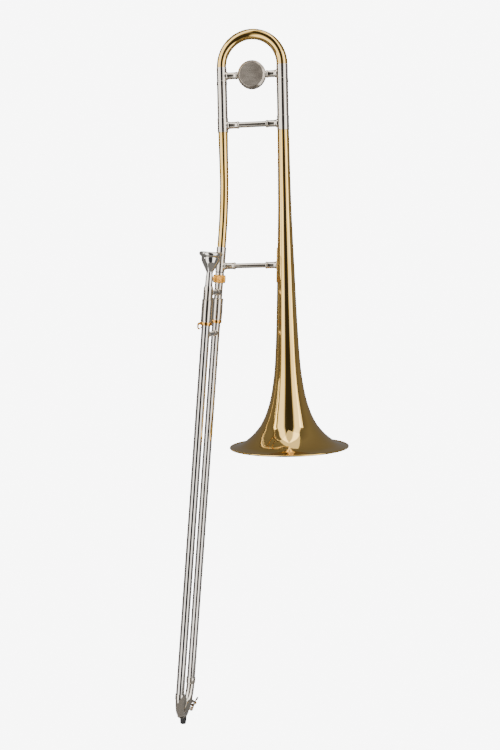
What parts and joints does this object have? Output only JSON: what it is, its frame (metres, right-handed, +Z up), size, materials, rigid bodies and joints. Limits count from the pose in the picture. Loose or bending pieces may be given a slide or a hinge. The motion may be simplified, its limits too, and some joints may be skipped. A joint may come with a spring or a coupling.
{
  "type": "tenor trombone",
  "caption": "Straight tenor trombone standing bell down, with tuning slide, counterweight, hand slide, slide lock, mouthpiece and water key.",
  "frame": {"origin": "middle of the bell's mouth, in the plane of its rim bead", "axes": "+Z up along the bell's axis, +X from the neckpipe towards the bell, -Y towards the mouthpiece"},
  "size_m": [0.2965, 0.203, 1.1793],
  "materials": {
    "lacquered_brass": "polished yellow brass under clear lacquer",
    "nickel_silver": "polished nickel silver, warm grey",
    "bright_nickel": "bright plated",
    "gilt_brass": "polished gold lacquer",
    "black_rubber": "matt black rubber",
    "cork": "natural cork",
    "spring_steel": "plain spring steel"
  },
  "bodies": {
    "bell_section": {"bell": "lacquered_brass", "bell_ferrule": "nickel_silver", "neck_ferrule": "nickel_silver", "bell_slide_tube": "nickel_silver", "neck_slide_tube": "nickel_silver", "neckpipe": "lacquered_brass", "slide_receiver": "nickel_silver", "receiver_washer": "black_rubber", "receiver_thread": "nickel_silver", "upper_brace_socket_neck": "nickel_silver", "upper_brace_socket_bell": "nickel_silver", "upper_brace_tube": "nickel_silver", "lower_brace_socket_neck": "nickel_silver", "lower_brace_socket_bell": "nickel_silver", "lower_brace_tube": "nickel_silver", "bell_saddle": "lacquered_brass"},
    "tuning_slide": {"tuning_bow": "lacquered_brass", "bow_ferrule_bell": "nickel_silver", "bow_ferrule_neck": "nickel_silver", "tuning_leg_bell": "nickel_silver", "tuning_leg_neck": "nickel_silver", "weight_socket_neck": "nickel_silver", "weight_socket_bell": "nickel_silver", "weight_brace_tube": "nickel_silver", "counterweight": "nickel_silver"},
    "lock_nut": {"lock_nut": "gilt_brass"},
    "inner_slide": {"tenon": "nickel_silver", "mouthpiece_receiver": "nickel_silver", "leadpipe": "nickel_silver", "inner_tube_upper": "nickel_silver", "inner_tube_lower": "nickel_silver", "cork_barrel_upper": "nickel_silver", "cork_barrel_lower": "nickel_silver", "barrel_bumper_upper": "black_rubber", "barrel_bumper_lower": "black_rubber", "barrel_ring_lower": "gilt_brass", "inner_brace_socket_lower": "nickel_silver", "inner_brace_socket_upper": "nickel_silver", "inner_brace_tube": "nickel_silver"},
    "slide_lock": {"slide_lock": "gilt_brass"},
    "mouthpiece": {"mouthpiece": "bright_nickel"},
    "outer_slide": {"outer_tube_upper": "bright_nickel", "outer_tube_lower": "bright_nickel", "slide_ferrule_upper": "nickel_silver", "slide_ferrule_lower": "nickel_silver", "outer_brace_socket_lower": "nickel_silver", "outer_brace_socket_upper": "nickel_silver", "outer_brace_tube": "nickel_silver", "slide_bow": "nickel_silver", "bow_guard": "nickel_silver", "rubber_tip": "black_rubber", "lock_catch": "nickel_silver", "water_nipple": "nickel_silver", "water_key_saddle": "nickel_silver", "water_key_screw": "gilt_brass"},
    "water_key": {"water_key_lever": "nickel_silver", "water_key_cork": "cork", "water_key_spring": "spring_steel"}
  },
  "joints": [
    {"name": "slide_swivel", "type": "hinge", "parent": "bell_section", "child": "inner_slide", "pos_m": [-0.102, 0, 0.4144], "axis": [0.0976, 0, 0.9952], "range_deg": [-210, 30]},
    {"name": "hand_slide", "type": "slide", "parent": "inner_slide", "child": "outer_slide", "axis": [-0.0976, 0, -0.9952], "range_m": [0, 0.58]},
    {"name": "tuning_slide_pull", "type": "slide", "parent": "bell_section", "child": "tuning_slide", "axis": [0, 0, 1], "range_m": [0, 0.045]},
    {"name": "lock_nut_turn", "type": "hinge", "parent": "inner_slide", "child": "lock_nut", "pos_m": [-0.102, 0, 0.4144], "axis": [0.0976, 0, 0.9952], "continuous": true},
    {"name": "slide_lock_turn", "type": "hinge", "parent": "inner_slide", "child": "slide_lock", "pos_m": [-0.102, -0.08, 0.4144], "axis": [-0.0976, 0, -0.9952], "range_deg": [0, 28]},
    {"name": "mouthpiece_pull", "type": "slide", "parent": "inner_slide", "child": "mouthpiece", "axis": [0.0976, 0, 0.9952], "range_m": [0, 0.022]},
    {"name": "water_key_lift", "type": "hinge", "parent": "outer_slide", "child": "water_key", "pos_m": [-0.17757, -0.00667, -0.45911], "axis": [0.7057, -0.3596, 0.6104], "range_deg": [0, 18], "stiffness_Nm_per_rad": 0.02, "springref_deg": -20.05}
  ]
}
